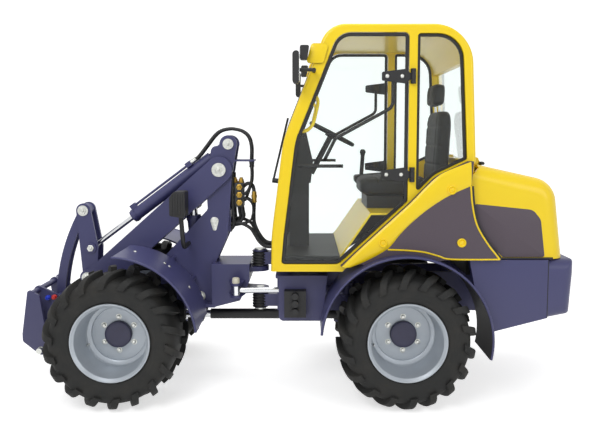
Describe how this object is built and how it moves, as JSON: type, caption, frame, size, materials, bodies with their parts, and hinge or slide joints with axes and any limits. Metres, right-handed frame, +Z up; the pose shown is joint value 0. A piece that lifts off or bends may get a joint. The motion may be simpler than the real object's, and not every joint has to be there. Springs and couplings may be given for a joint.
{
  "type": "compact articulated wheel loader",
  "caption": "Compact articulated wheel loader with a glazed cab, centre-pivot steering, a drop-nose boom with lever linkage, and a tool coupler with lock pins at the front.",
  "frame": {"origin": "on the ground under the centre of the machine's bounding box", "axes": "+X forward to the tool coupler, +Y to the driver's left, +Z up"},
  "size_m": [3.359, 1.3, 2.214],
  "materials": {
    "yellow_paint": "gloss enamel",
    "slate_paint": "semi-gloss powder coat",
    "panel_plastic": "fine-grained moulding",
    "tyre_rubber": "dusty rubber",
    "silver_paint": "silver enamel",
    "zinc_steel": "zinc plated",
    "chrome_rod": "polished chrome",
    "black_plastic": "matt moulding",
    "cab_glass": "clear",
    "seat_cover": "soft grained cover",
    "lamp_lens": "clear lens",
    "red_lens": "red lens",
    "cast_iron": "bare casting",
    "hose_rubber": "smooth hose"
  },
  "bodies": {
    "rear_frame": {"rear_chassis": "slate_paint", "pivot_pins": "zinc_steel", "rear_axle": "slate_paint", "engine": "cast_iron", "valve_block": "black_plastic", "counterweight": "slate_paint", "tail_lamps": "red_lens", "side_skirts": "slate_paint", "rear_fenders": "slate_paint", "side_cowls": "panel_plastic", "cab_side_left": "yellow_paint", "cab_side_right": "yellow_paint", "cab_roof": "yellow_paint", "cab_windows": "cab_glass", "cab_rear_wall": "yellow_paint", "cab_floor": "black_plastic", "seat_deck": "panel_plastic", "door_hinges": "black_plastic", "seat_stand": "black_plastic", "seat_cushion": "seat_cover", "seat_backrest": "seat_cover", "dashboard": "black_plastic", "steering_wheel": "black_plastic", "cab_fittings": "black_plastic", "cab_lamps": "lamp_lens"},
    "hood": {"engine_hood": "yellow_paint"},
    "door_left": {"door_glass_left": "cab_glass", "door_hardware_left": "black_plastic"},
    "door_right": {"door_glass_right": "cab_glass", "door_hardware_right": "black_plastic"},
    "front_frame": {"front_chassis": "slate_paint", "front_pins": "zinc_steel", "front_axle": "slate_paint", "front_fenders": "slate_paint", "front_lamps": "black_plastic", "loader_hoses": "hose_rubber"},
    "boom": {"boom": "slate_paint"},
    "lever_pin": {"lever_pin": "zinc_steel"},
    "lever": {"tilt_lever": "slate_paint"},
    "link_pin": {"link_pin": "zinc_steel"},
    "link": {"tilt_link": "slate_paint"},
    "tool_pin": {"tool_pin": "zinc_steel"},
    "carrier": {"tool_carrier": "slate_paint", "lock_pins": "zinc_steel"},
    "tilt_barrel": {"tilt_barrel": "slate_paint"},
    "tilt_rod": {"tilt_rod": "chrome_rod"},
    "lift_barrel": {"lift_barrel": "slate_paint"},
    "lift_rod": {"lift_rod": "chrome_rod"},
    "steer_barrel": {"steer_barrel": "slate_paint"},
    "steer_rod": {"steer_rod": "chrome_rod"},
    "shaft_rear": {"drive_shaft_rear": "slate_paint"},
    "shaft_front": {"drive_shaft_front": "zinc_steel"},
    "wheel_front_left": {"tyre_front_left": "tyre_rubber", "rim_front_left": "silver_paint"},
    "wheel_front_right": {"tyre_front_right": "tyre_rubber", "rim_front_right": "silver_paint"},
    "wheel_rear_left": {"tyre_rear_left": "tyre_rubber", "rim_rear_left": "silver_paint"},
    "wheel_rear_right": {"tyre_rear_right": "tyre_rubber", "rim_rear_right": "silver_paint"}
  },
  "joints": [
    {"name": "articulation", "type": "hinge", "parent": "rear_frame", "child": "front_frame", "pos_m": [0.2025, 0, 0.62], "axis": [0, 0, 1], "range_deg": [-42, 42], "deforming": ["loader_hoses"]},
    {"name": "wheel_spin_front_left", "type": "hinge", "parent": "front_frame", "child": "wheel_front_left", "pos_m": [1.0175, 0.46, 0.405], "axis": [0, 1, 0], "continuous": true},
    {"name": "wheel_spin_front_right", "type": "hinge", "parent": "front_frame", "child": "wheel_front_right", "pos_m": [1.0175, -0.46, 0.405], "axis": [0, 1, 0], "continuous": true},
    {"name": "wheel_spin_rear_left", "type": "hinge", "parent": "rear_frame", "child": "wheel_rear_left", "pos_m": [-0.6755, 0.46, 0.405], "axis": [0, 1, 0], "continuous": true},
    {"name": "wheel_spin_rear_right", "type": "hinge", "parent": "rear_frame", "child": "wheel_rear_right", "pos_m": [-0.6755, -0.46, 0.405], "axis": [0, 1, 0], "continuous": true},
    {"name": "hood_lift", "type": "hinge", "parent": "rear_frame", "child": "hood", "pos_m": [-1.1195, 0, 1.439], "axis": [0, 1, 0], "range_deg": [0, 60]},
    {"name": "door_swing_left", "type": "hinge", "parent": "rear_frame", "child": "door_left", "pos_m": [-0.7055, 0.508, 1.637], "axis": [0, 0, 1], "range_deg": [0, 85]},
    {"name": "door_swing_right", "type": "hinge", "parent": "rear_frame", "child": "door_right", "pos_m": [-0.7055, -0.508, 1.637], "axis": [0, 0, -1], "range_deg": [0, 85]},
    {"name": "boom_lift", "type": "hinge", "parent": "front_frame", "child": "boom", "pos_m": [0.4555, 0, 1.365], "axis": [0, -1, 0], "range_deg": [-6, 62], "deforming": ["loader_hoses"]},
    {"name": "lever_pin_turn", "type": "hinge", "parent": "boom", "child": "lever_pin", "pos_m": [1.3075, 0, 0.673], "axis": [0, -1, 0], "range_deg": [-48.37, 5.58]},
    {"name": "tool_tilt", "type": "hinge", "parent": "lever_pin", "child": "lever", "pos_m": [1.3075, 0, 0.673], "axis": [0, 1, 0], "range_deg": [-19.04, 28.56], "deforming": ["loader_hoses"]},
    {"name": "link_pin_turn", "type": "hinge", "parent": "lever", "child": "link_pin", "pos_m": [1.3415, 0, 1.099], "axis": [0, -1, 0], "range_deg": [-4.66, 38.86]},
    {"name": "link_swing", "type": "hinge", "parent": "link_pin", "child": "link", "pos_m": [1.3415, 0, 1.099], "axis": [0, 1, 0], "range_deg": [-24.86, 16.91]},
    {"name": "tool_pin_turn", "type": "hinge", "parent": "boom", "child": "tool_pin", "pos_m": [1.4725, 0, 0.275], "axis": [0, -1, 0], "range_deg": [-63, 7]},
    {"name": "carrier_tilt", "type": "hinge", "parent": "tool_pin", "child": "carrier", "pos_m": [1.4725, 0, 0.275], "axis": [0, 1, 0], "range_deg": [-29, 43]},
    {"name": "tilt_barrel_swing", "type": "hinge", "parent": "front_frame", "child": "tilt_barrel", "pos_m": [0.3975, 0, 1.528], "axis": [0, -1, 0], "range_deg": [-6.75, 60.45]},
    {"name": "tilt_rod_slide", "type": "slide", "parent": "tilt_barrel", "child": "tilt_rod", "axis": [0.8004, 0, -0.5994], "range_m": [-0.0573, 0.0839]},
    {"name": "lift_barrel_swing", "type": "hinge", "parent": "front_frame", "child": "lift_barrel", "pos_m": [0.5875, 0, 0.545], "axis": [0, -1, 0], "range_deg": [-3.93, 1.28]},
    {"name": "lift_rod_slide", "type": "slide", "parent": "lift_barrel", "child": "lift_rod", "axis": [0.0954, 0, 0.9954], "range_m": [-0.0291, 0.2635]},
    {"name": "steer_barrel_swing", "type": "hinge", "parent": "rear_frame", "child": "steer_barrel", "pos_m": [-0.3575, 0.205, 0.619], "axis": [0, 0, 1], "range_deg": [-9.94, 9.94]},
    {"name": "steer_rod_slide", "type": "slide", "parent": "steer_barrel", "child": "steer_rod", "axis": [0.9994, 0.0358, 0], "range_m": [-0.1681, 0.1681]},
    {"name": "shaft_rear_swing", "type": "hinge", "parent": "rear_frame", "child": "shaft_rear", "pos_m": [-0.3185, 0, 0.405], "axis": [0, 0, 1], "range_deg": [-22, 22]},
    {"name": "shaft_front_swing", "type": "hinge", "parent": "front_frame", "child": "shaft_front", "pos_m": [0.7235, 0, 0.405], "axis": [0, 0, 1], "range_deg": [-22, 22]}
  ],
  "couplings": [
    {"joint": "lever_pin_turn", "follows": "boom_lift", "ratio": -0.76409},
    {"joint": "tool_pin_turn", "follows": "boom_lift", "ratio": -1},
    {"joint": "link_pin_turn", "follows": "boom_lift", "ratio": 0.61061},
    {"joint": "tilt_barrel_swing", "follows": "boom_lift", "ratio": 0.95889},
    {"joint": "lift_barrel_swing", "follows": "boom_lift", "ratio": -0.047267},
    {"joint": "lift_rod_slide", "follows": "boom_lift", "m_per_rad": 0.23981},
    {"joint": "carrier_tilt", "follows": "tool_tilt", "ratio": 1.4705},
    {"joint": "link_swing", "follows": "tool_tilt", "ratio": -0.83553},
    {"joint": "tilt_rod_slide", "follows": "tool_tilt", "m_per_rad": 0.16029},
    {"joint": "steer_barrel_swing", "follows": "articulation", "ratio": 0.21297},
    {"joint": "steer_rod_slide", "follows": "articulation", "m_per_rad": -0.22387},
    {"joint": "shaft_rear_swing", "follows": "articulation", "ratio": 0.5},
    {"joint": "shaft_front_swing", "follows": "articulation", "ratio": -0.5}
  ]
}
